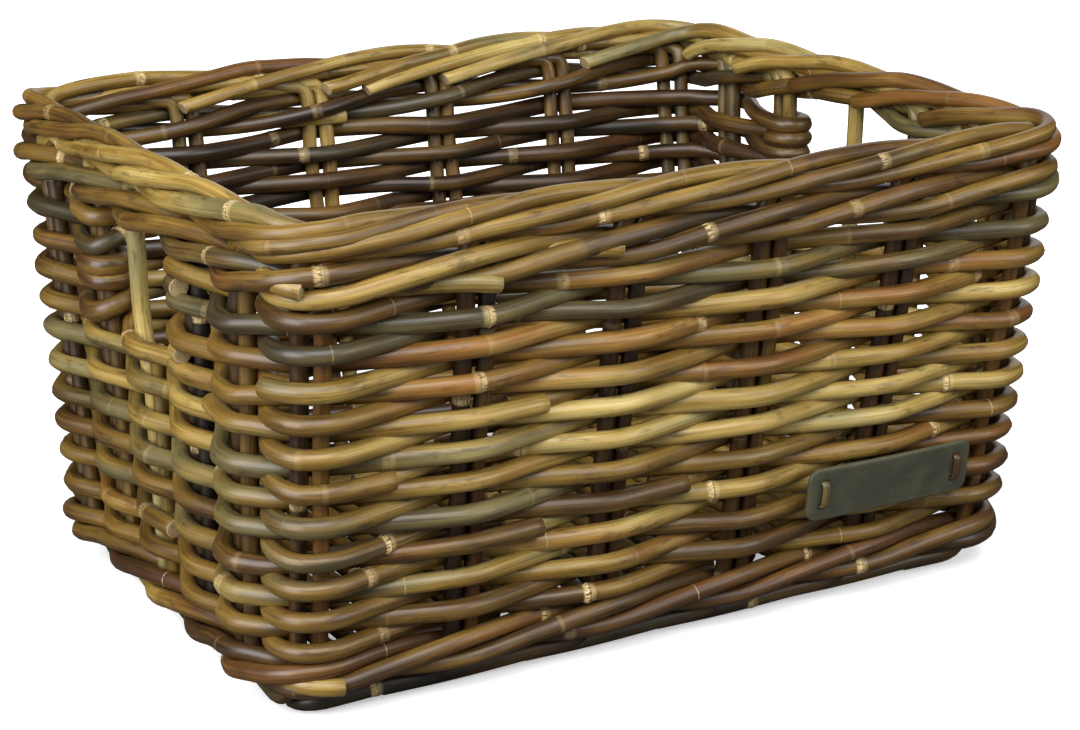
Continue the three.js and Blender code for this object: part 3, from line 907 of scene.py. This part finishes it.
# Wales: three rods at the foot and three at the rim, each in front of two stakes and behind one.
wale = {
    "radius": 0.0042,
    "swingLong": 0.0080,
    "swingShort": 0.0081,
    "bulge": 1.06,  # between the two stakes that a rod passes in front of
    "jitter": 0.0003,
    "cuts": (3, 24, 48, 69),  # the stakes behind which the three rods begin and end
    "tails": {  # cut ends that stand out, as places in stakes, heights and how far out
        "bottom_wale": ([(0.15, 0.0215, 0.0108)], [], []),
        "top_wale": (
            [(1.06, 0.1965, 0.0108)],
            [(1.85, 0.2035, 0.0098), (-0.05, 0.2045, 0.0108)],
            [(14.7, 0.1980, 0.0108)],
        ),
    },
    "tailRoute": ((0.9, -0.004), (0.5, 0.001), (0.22, 0.0078)),
    "tailLook": (0.62, 0.4),
    "looks": {  # tone and warmth of the three rods
        "bottom_wale": ((0.37, 0.76), (0.28, 0.84), (0.34, 0.6)),
        "top_wale": ((0.44, 0.50), (0.32, 0.62), (0.40, 0.12)),
    },
    # painted shade of the back wall
    "backDark": 0.10,
    "topLift": 0.0015,  # how much closer to the border the upper wale lies
    "handleLift": 0.0110,  # and above the hand opening of the right wall
    "handleReach": 1.1,
    "handleClose": 0.7,
    "internode": 0.17,
    "uneven": 0.05,
    "seeds": {"bottom_wale": 211, "top_wale": 221},
}


def waleLevel(height, rise, place):
    # The strokes lie closer together and higher where they cross the right hand opening.
    if height < basket["rimHeight"] / 2:
        return height + rise
    near = math.exp(-((place % stakeCount - rightHandle) / wale["handleReach"]) ** 2)
    return height + wale["topLift"] + rise * (1 - wale["handleClose"] * near) + wale["handleLift"] * near


def waleSteps(height, first, last, rng):
    # Behind every third stake, and rising past the two in front of which the rod lies.
    rise = basket["waleRise"]
    steps = []
    for stake in range(first, last + 1):
        phase = stake % 3
        out = swing(stake, wale) * (1 if phase else -1)
        level = waleLevel(height, (0, -rise, rise)[phase], stake) + rng.normal(0, wale["jitter"])
        steps.append((stake, level, out + cornerOut(stake)))
        if stake < last:
            between = out * wale["bulge"] if phase == 1 else 0
            steps.append((stake + 0.5, waleLevel(height, (-rise, 0, rise)[phase], stake + 0.5), between))
    return trimmedEnds(steps)


def tailSteps(place, level, reach):
    # From behind the stakes to a cut end that stands out and droops a little.
    steps = [(place - back, level, outward) for back, outward in wale["tailRoute"]]
    return steps + [(place - 0.1, level - 0.0008, reach - 0.0008), (place, level - 0.002, reach)]


for waleName, height in (("bottom_wale", basket["bottomWale"]), ("top_wale", basket["topWale"])):
    for index, (tone, warm) in enumerate(wale["looks"][waleName]):
        rng = np.random.default_rng(wale["seeds"][waleName] + index)
        steps = waleSteps(height, *wale["cuts"][index:index + 2], rng)
        look = rodLook(rng, tone, warm, wale)
        rods = [skin(wallRoute(steps, wale["radius"]), rng, look)]
        for tail in wale["tails"][waleName][index]:
            look = rodLook(rng, *wale["tailLook"], wale)
            rods.append(skin(wallRoute(tailSteps(*tail), wale["radius"]), rng, look))
        addRods(f"{waleName}_{index + 1}", rods)
print("wales laid")


def shortShare(place):
    # 1 on the short walls and 0 on the long ones.
    at = np.mod(place, stakeCount)
    return sum(
        rising(at, wall[0] - 0.8, wall[0] - 0.2) * rising(at, wall[-1] + 0.8, wall[-1] + 0.2)
        for wall in shortWalls
    )


def ropeTurn(place):
    # The strands turn faster round the border on the short walls.
    return stakes["turnLong"] + (stakes["turnShort"] - stakes["turnLong"]) * shortShare(place)


def ropeSteps(stake, lag, rng):
    # The border: out from under the rope, over it and down inside, ending in a slanted cut.
    start = stake + 0.5
    fine = 0.05
    places = start + np.arange(0, 7, fine)
    angles = stakes["ropeStart"] - lag + np.concatenate([[0], np.cumsum(ropeTurn(places[:-1]) * fine)])
    stop = stakes["ropeStop"] + rng.uniform(*stakes["ropeStops"])
    end = float(np.interp(stop, angles, places))
    loose = rng.uniform(*stakes["ropeLoose"])
    radius = stakes["ropeRadius"] * rng.uniform(*stakes["ropeRadii"])
    arch = rng.uniform(*stakes["ropeArch"])
    steps = []
    for place in np.append(np.arange(start, end - 0.12, 0.25), end):
        angle = math.radians(np.interp(place, places, angles))
        reach = radius * (1 + loose * max(angle - stakes["ropeInside"], 0))
        crown = arch * math.exp(-(((angle - math.pi / 2) / stakes["archWidth"]) ** 2))
        sink = stakes["ropeSink"] * (rising(angle, *stakes["sinkFrom"]) - crown)
        height = stakes["ropeHeight"] + reach * math.sin(angle) - sink + rng.normal(0, 0.0002)
        thickness = stakes["ropeThickness"] * (1 + stakes["ropeThicker"] * shortShare(place))
        steps.append((place, height, reach * math.cos(angle), thickness))
    return steps


def stakeLook(stake, rng, tone=None):
    toneRange, warmRange = stakes["looks"][wallOf(stake)]
    warm = rng.uniform(*warmRange)
    look = rodLook(rng, rng.uniform(*toneRange) if tone is None else tone, warm, stakes)
    # Painted shade for the stakes behind the courses; the stakes in the hand openings keep their tone.
    if stake not in (rightHandle, leftHandle):
        look["paintedStakeShade"] = stakes["paintedStakeShades"][wallOf(stake)]
    end = stake + 0.5 + (stakes["ropeStop"] - stakes["ropeStart"]) / ropeTurn(stake + 2)
    outer, inner = wallSpots([end, end], stakes["ropeHeight"], [0, -1])
    aside, up = stakes["cutSlant"]
    look["slant"] = (inner - outer) * aside + np.array([0, 0, up])
    return look


def stakeRods(stake, rng):
    half = stakes["halfStep"]
    foot = stakes["footThickness"]
    out = cornerOut(stake)
    under = stakes["ropeHeight"] - stakes["ropeUnder"]
    inOpening = stake in (rightHandle, leftHandle)

    def beside(height, along):
        return stake + stepInStakes(stake, height, along)

    def upright(low, side):
        steps = []
        for height in np.linspace(low, under, 7):
            wobble = rng.normal(0, stakes["wobble"])
            lean = stakes["leftLean"] * rising(height, *stakes["leanHeights"]) if stake == leftHandle else 0
            steps.append((beside(height, side * half + wobble) - lean, height, wobble + out))
        return steps

    def elbow(side):
        (near, up, outward), (far, farUp, farOutward) = stakes["elbow"]
        return [
            (beside(under + up, side * half + near), under + up, outward + out * 0.5),
            (beside(under + up, side * half + far), under + farUp, farOutward),
        ]

    # The foot strand lies outside the next one's end and slants inward as it goes back.
    low = stakes["footLow"]
    knee = low + stakes["footRise"]
    steps = [(stake - back, low + up, outward, foot) for back, up, outward in stakes["footRoute"]]
    steps += [
        (beside(knee, -half - 0.006), knee - 0.0010, -0.0003, foot),
        (beside(knee, -half - 0.0015), knee + 0.0045, 0, 1),
    ]
    steps += upright(stakes["starts"][0], -1) + elbow(-1) + ropeSteps(stake, 0, rng)
    look = stakeLook(stake, rng, stakes["strandTones"].get(stake))
    thickness = stakes["radius"] * (stakes["handleThickness"] if inOpening else 1)
    rods = [skin(wallRoute(steps, thickness), rng, look)]

    look = stakeLook(stake, rng, stakes["secondTones"].get(stake))
    second = ropeSteps(stake, stakes["ropeLag"], rng)
    if stake not in stakes["doubled"]:
        core = (stakes["ropeHeight"], 0, stakes["coreThickness"])
        second = [(stake + ahead, *core) for ahead in (0.55, 0.9, 1.4, 1.9)]
    if inOpening:
        rods.append(skin(wallRoute(second, stakes["radius"]), rng, look))
        top = basket["firstCourse"] + (basket["lowerCourses"] - 0.5) * basket["coursePitch"]
        heights = np.linspace(stakes["starts"][1], top, 6)
        second = [(beside(height, half), height, 0) for height in heights]
        look = stakeLook(stake, rng, 0.5)
        del look["slant"]
    else:
        second = upright(stakes["starts"][1], 1) + elbow(1) + second
    return rods + [skin(wallRoute(second, stakes["radius"] * stakes["shortThickness"]), rng, look)]


for wallName, wall in walls.items():
    for index, stake in enumerate(wall):
        rods = stakeRods(stake, np.random.default_rng(stakes["seed"] + stake))
        addRods(f"stake_{wallName}_{index + 1}", rods, "_canes")
print("stakes and border set")


# Base mat: a hoop, two sticks on it, one long rod laid to and fro and two sticks on top of it.
mat = {
    "radius": 0.0039,
    "hoopHeight": 0.0058,
    "hoopInset": 0.0205,
    "hoopStart": 2.5,  # in stakes
    "sticks": 4,
    "stickRings": 90,
    "passes": 30,
    "passRings": 11,
    "turn": 0.004,
    "bend": 0.0007,  # how far the long rod gives way to the sticks
    "tones": {"hoop": 0.4, "sticks": (0.35, 0.6), "weaver": 0.5},
    "warm": 0.4,
    "weaverWarm": 0.45,
    "knuckle": 0.06,
    "seed": 411,
}
matHalfLength, matHalfWidth = (float(size) / 2 - mat["hoopInset"] for size in planAt(mat["hoopHeight"]))
stickHeight = mat["hoopHeight"] + basket["coursePitch"]
stickSpacing = 2 * matHalfWidth / (mat["sticks"] + 1)


def stickRoute(stick):
    count = mat["stickRings"]
    reach = matHalfLength + mat["radius"]
    y = (stick + 1) * stickSpacing - matHalfWidth
    height = stickHeight + stick % 2 * 2 * basket["coursePitch"]
    points = np.stack([np.linspace(-reach, reach, count), np.full(count, y), np.full(count, height)], axis=1)
    return points, np.full(count, mat["radius"])


def matRoute():
    # To and fro across the basket, over the low sticks and under the high ones.
    points = []
    step = 2 * matHalfLength / (mat["passes"] - 1)
    edge = matHalfWidth - mat["turn"]
    middle = stickHeight + basket["coursePitch"]
    bend = edge + mat["turn"] * 0.75
    bends = ((0.15, bend), (0.5, matHalfWidth + 0.001), (0.85, bend))
    for index in range(mat["passes"]):
        x = index * step - matHalfLength
        ahead = 1 if index % 2 == 0 else -1
        for share in np.linspace(-1, 1, mat["passRings"]):
            y = ahead * edge * share
            wave = math.cos(math.pi * (y + matHalfWidth) / stickSpacing)
            points.append((x, y, middle - mat["bend"] * wave))
        if index < mat["passes"] - 1:
            points += [(x + step * share, ahead * out, middle) for share, out in bends]
    smooth = splineThrough(points, 4)
    return smooth, np.full(len(smooth), mat["radius"])


rng = np.random.default_rng(mat["seed"])
halfSteps = mat["hoopStart"] + np.arange(0, stakeCount + 0.5, 0.5)
hoopSteps = trimmedEnds([(place, mat["hoopHeight"], -mat["hoopInset"]) for place in halfSteps])
look = rodLook(rng, mat["tones"]["hoop"], mat["warm"], mat)
addRods("base_hoop", [skin(wallRoute(hoopSteps, mat["radius"]), rng, look)])
for stick in range(mat["sticks"]):
    look = rodLook(rng, rng.uniform(*mat["tones"]["sticks"]), mat["warm"], mat)
    addRods(f"base_stick_{stick + 1}", [skin(stickRoute(stick), rng, look)])
look = rodLook(rng, mat["tones"]["weaver"], mat["weaverWarm"], mat)
addRods("base_weaver", [skin(matRoute(), rng, look)])
print("base mat woven")


# Label: a bare leather strip, held at each end by a loop of split cane.
label = {
    "length": 0.092,
    "width": 0.026,
    "thickness": 0.0024,
    "corner": 0.005,
    "cornerSteps": 7,
    "height": 0.067,
    "stake": 4,
    "shift": 0.002,
    "stand": 0.0130,  # outward from the stakes
    "bow": 0.0006,
    "droop": 0.0004,  # of both ends
    "twist": 0.0005,
    "columns": np.linspace(-0.036, 0.036, 19).round(6),  # where the grid is cut
    "rows": (-0.011, -0.003, 0.0, 0.003, 0.011),
    "edgeBevel": 0.0005,
    "edgeWear": 0.0022,
    "slotRoom": (0.0003, 0.0004),
    "loopInset": 0.008,
    "loopWidth": 0.0038,
    "loopThickness": 0.0014,
    "loopSpan": 0.012,
    "loopBack": -0.0045,
    "loopSection": (
        (-1, -0.4), (-0.8, -1), (0.8, -1), (1, -0.4), (1, 0.3), (0.6, 0.9), (0, 1.1), (-0.6, 0.9), (-1, 0.3),
    ),
    "loopTones": {-1: 0.60, 1: 0.20},
    "loopWarm": 0.15,
    "colour": paint(56, 57, 42),
    "wear": paint(78, 77, 57),
    "deep": paint(32, 32, 24),
    "bump": (0.45, 0.0004),
}
wallLean = (basket["rimWidth"] - basket["floorWidth"]) / 2 / basket["rimHeight"]


def labelMatrix():
    sideways = Vector((1, 0, 0))
    slope = Vector((0, -wallLean, 1)).normalized()
    outward = sideways.cross(slope)
    place = label["stake"] + stepInStakes(label["stake"], label["height"], label["shift"])
    origin = Vector(wallSpots([place], label["height"], 0)[0]) + outward * label["stand"]
    turn = Matrix((sideways, slope, outward)).transposed()
    return Matrix.Translation(origin) @ turn.to_4x4()


def leatherMaterial(name, look):
    material, shader = newMaterial(name)
    space = objectSpace()
    cells = Shade.node("TexVoronoi", {"feature": "DISTANCE_TO_EDGE"}, {"Vector": space, "Scale": 1500.0})
    grain = noise(space, (2600, 2600, 2600))
    scuff = noise(space, (90, 90, 90), 5.0, 0.65)
    fold = noise(space, (60, 260, 60))
    edge = attribute("labelEdge")
    colour = mixed(scuff.between(0.46, 0.70) * 0.55, look["colour"], look["wear"])
    colour = mixed((1 - cells.between(0.02, 0.16)) * 0.35, colour, look["deep"])
    colour = mixed((edge * (0.5 + scuff)).clamped() * 0.7, colour, look["wear"])
    colour = mixed(fold.between(0.55, 0.75) * 0.4, colour, look["deep"])
    height = cells.between(0.0, 0.2) * 0.7 + grain * 0.3 + scuff * 0.4
    gloss = (0.46 + scuff * 0.25).clamped()
    Shade.plug(shader, {"Base Color": colour, "Roughness": gloss, "Normal": bumped(height, *look["bump"])})
    return material


def dressed(mesh, material):
    mesh.polygons.foreach_set("use_smooth", [True] * len(mesh.polygons))
    mesh.materials.append(material)
    mesh.update()
    return mesh


def labelOutline():
    corner = label["corner"]
    x = label["length"] / 2 - corner
    y = label["width"] / 2 - corner
    points = []
    for centreX, centreY, start in ((x, -y, -90), (x, y, 0), (-x, y, 90), (-x, -y, 180)):
        for step in range(label["cornerSteps"]):
            angle = math.radians(start + 90 * step / (label["cornerSteps"] - 1))
            points.append((centreX + corner * math.cos(angle), centreY + corner * math.sin(angle)))
    return points


def slottedStrip():
    # Cut into a fine grid, so that the strip can bow and its slots stay open.
    body = bmesh.new()
    body.faces.new([body.verts.new((x, y, 0)) for x, y in labelOutline()])
    slotX = label["length"] / 2 - label["loopInset"]
    slotY = label["loopSpan"] / 2
    across, along = label["slotRoom"]
    halves = (label["loopWidth"] / 2 + across, label["loopThickness"] / 2 + along)
    slots = [(end * slotX, level * slotY) for end in (-1, 1) for level in (-1, 1)]
    for axis, grid, normal in ((0, label["columns"], (1, 0, 0)), (1, label["rows"], (0, 1, 0))):
        edges = {round(slot[axis] + side * halves[axis], 6) for slot in slots for side in (-1, 1)}
        for cut in sorted(edges | set(grid)):
            geometry = body.verts[:] + body.edges[:] + body.faces[:]
            bmesh.ops.bisect_plane(body, geom=geometry, plane_co=Vector(normal) * cut, plane_no=normal)
    gone = []
    for face in body.faces:
        middle = face.calc_center_median()
        if any(all(abs(middle[axis] - slot[axis]) < halves[axis] for axis in (0, 1)) for slot in slots):
            gone.append(face)
    bmesh.ops.delete(body, geom=gone, context="FACES")
    return body


def labelPlate():
    body = slottedStrip()
    made = bmesh.ops.extrude_face_region(body, geom=body.faces[:])
    risen = [item for item in made["geom"] if isinstance(item, bmesh.types.BMVert)]
    bmesh.ops.translate(body, verts=risen, vec=(0, 0, label["thickness"]))
    bmesh.ops.recalc_face_normals(body, faces=body.faces[:])
    rims = [edge for edge in body.edges if edge.is_manifold and edge.calc_face_angle(0) > 1.0]
    bmesh.ops.bevel(body, geom=rims, offset=label["edgeBevel"], segments=2, profile=0.6, affect="EDGES")
    mesh = bpy.data.meshes.new("label_leather")
    body.to_mesh(mesh)
    body.free()
    spots = np.zeros(len(mesh.vertices) * 3)
    mesh.vertices.foreach_get("co", spots)
    spots = spots.reshape(-1, 3)
    halfLength, halfWidth = label["length"] / 2, label["width"] / 2
    rim = np.minimum(halfLength - np.abs(spots[:, 0]), halfWidth - np.abs(spots[:, 1]))
    fromMiddle = np.abs(spots[:, 0]) / halfLength
    droop = label["droop"] * np.clip(fromMiddle - 0.7, 0, 1)
    spots[:, 2] += label["bow"] * (1 - fromMiddle ** 2) * 1.2 - droop
    spots[:, 2] += label["twist"] * np.sin(spots[:, 0] * 70 + 1.0) * (spots[:, 1] / label["width"])
    mesh.vertices.foreach_set("co", spots.ravel())
    writeValues(mesh, "labelEdge", rising(rim, label["edgeWear"], 0))
    return dressed(mesh, leatherMaterial("label_leather", label))


def loopMesh(end):
    # A flat band that comes out of one slot, crosses the strip and goes back into the other.
    front = label["thickness"] + 0.0003 + label["bow"] * 0.4
    half = label["loopSpan"] / 2
    way = [(half, label["loopBack"]), (half, front * 0.3), (half, front), (half * 0.82, front + 0.0011)]
    way = [(-y, z) for y, z in way] + [(0, front + 0.0015)] + way[::-1]
    line = splineThrough([(0, y, z) for y, z in way], 4)
    slope = np.gradient(line, axis=0)
    slope /= np.linalg.norm(slope, axis=1)[:, None]
    out = np.cross(slope, [1.0, 0, 0])
    offset = end * (label["length"] / 2 - label["loopInset"])
    section = [(x * label["loopWidth"] / 2, z * label["loopThickness"] / 2) for x, z in label["loopSection"]]
    verts = []
    for spot, normal in zip(line, out):
        verts += [spot + np.array([across + offset, 0, 0]) - normal * level for across, level in section]
    sides = len(section)
    rings = np.arange(len(line) - 1)[:, None] * sides
    faces = quadsBetween(rings, rings + sides, sides).tolist()
    faces += [list(range(sides)), list(reversed(range(len(verts) - sides, len(verts))))]
    mesh = bpy.data.meshes.new("label_loop")
    mesh.from_pydata([tuple(vert) for vert in verts], [], faces)
    writeValues(mesh, "caneSpace", np.array(verts)[:, [0, 2, 1]] + 3.0 + end)
    looks = (label["loopTones"][end], label["loopWarm"], 2.0, 0.0)
    for key, value in zip(("caneTone", "caneWarm", "caneRing", "caneMark"), looks):
        writeValues(mesh, key, np.full(len(verts), value))
    check = bmesh.new()
    check.from_mesh(mesh)
    bmesh.ops.recalc_face_normals(check, faces=check.faces[:])
    check.to_mesh(mesh)
    check.free()
    return dressed(mesh, caneSkin)


addPiece("label_strip", labelPlate(), "label_plate", labelMatrix())
addPiece("label_tie_left", loopMesh(-1), "label_loop_left", labelMatrix())
addPiece("label_tie_right", loopMesh(1), "label_loop_right", labelMatrix())
print("label tied on")


# Floor and light: a white floor, a soft light above and one on each side and behind.
studio = {
    "floor": 1.6,
    "drop": 0.0005,
    "bounce": paint(76, 74, 70),  # the floor's colour for the light that it throws back
    "white": paint(250, 250, 250),
    "lift": 0.42,  # how much it glows under the basket, for the camera
    "pure": (0.30, 0.75),
    "roughness": 0.9,
    "lights": [
        {"name": "above", "at": (-0.30, -0.95, 1.30), "size": 1.2, "power": 30},
        {"name": "left", "at": (-1.5, -0.4, 0.80), "size": 1.3, "power": 42},
        {"name": "right", "at": (0.9, -1.4, 0.75), "size": 0.8, "power": 11},
        {"name": "behind", "at": (1.3, 1.4, 0.8), "size": 1.6, "power": 10},
    ],
    "aim": (0, 0, 0.1),
    "world": 0.026,
}


def floorMaterial(look):
    # White for the camera, fading to pure white away from the basket, and grey for other rays.
    material, shader = newMaterial("floor")
    rays = Shade.node("LightPath")
    flat = stretched(objectSpace(), (1.0, 1.2, 0))
    away = Shade.node("VectorMath", {"operation": "LENGTH"}, {0: flat}, output="Value")
    glow = look["lift"] + away.between(*look["pure"]) * (1 - look["lift"])
    Shade.plug(shader, {
        "Base Color": mixed(rays, look["bounce"], look["white"]),
        "Emission Color": mixed(rays * glow, (0, 0, 0, 1), (1, 1, 1, 1)),
        "Emission Strength": 1.0,
        "Roughness": look["roughness"],
    })
    return material


def addFloor(look):
    mesh = bpy.data.meshes.new("floor")
    reach = look["floor"]
    corners = [(-reach, -reach, 0), (reach, -reach, 0), (reach, reach, 0), (-reach, reach, 0)]
    mesh.from_pydata(corners, [], [(0, 1, 2, 3)])
    mesh.materials.append(floorMaterial(look))
    floor = addObject("floor", mesh)
    floor.location.z = -look["drop"]


def addWorld(look):
    world = bpy.data.worlds.new("studio")
    bpy.context.scene.world = world
    world.use_nodes = True
    Shade.tree = world.node_tree
    strength = look["world"] + Shade.node("LightPath") * (1 - look["world"])
    Shade.plug(world.node_tree.nodes["Background"], {"Color": (1, 1, 1, 1), "Strength": strength})


def addLight(lamp, aim):
    data = bpy.data.lights.new(lamp["name"], "AREA")
    data.energy = lamp["power"]
    data.size = lamp["size"]
    light = addObject(lamp["name"], data)
    light.location = lamp["at"]
    light.rotation_euler = (Vector(aim) - Vector(lamp["at"])).to_track_quat("-Z", "Y").to_euler()


addFloor(studio)
addWorld(studio)
for lamp in studio["lights"]:
    addLight(lamp, studio["aim"])
bpy.context.scene.view_settings.view_transform = "Standard"
print("studio lit")
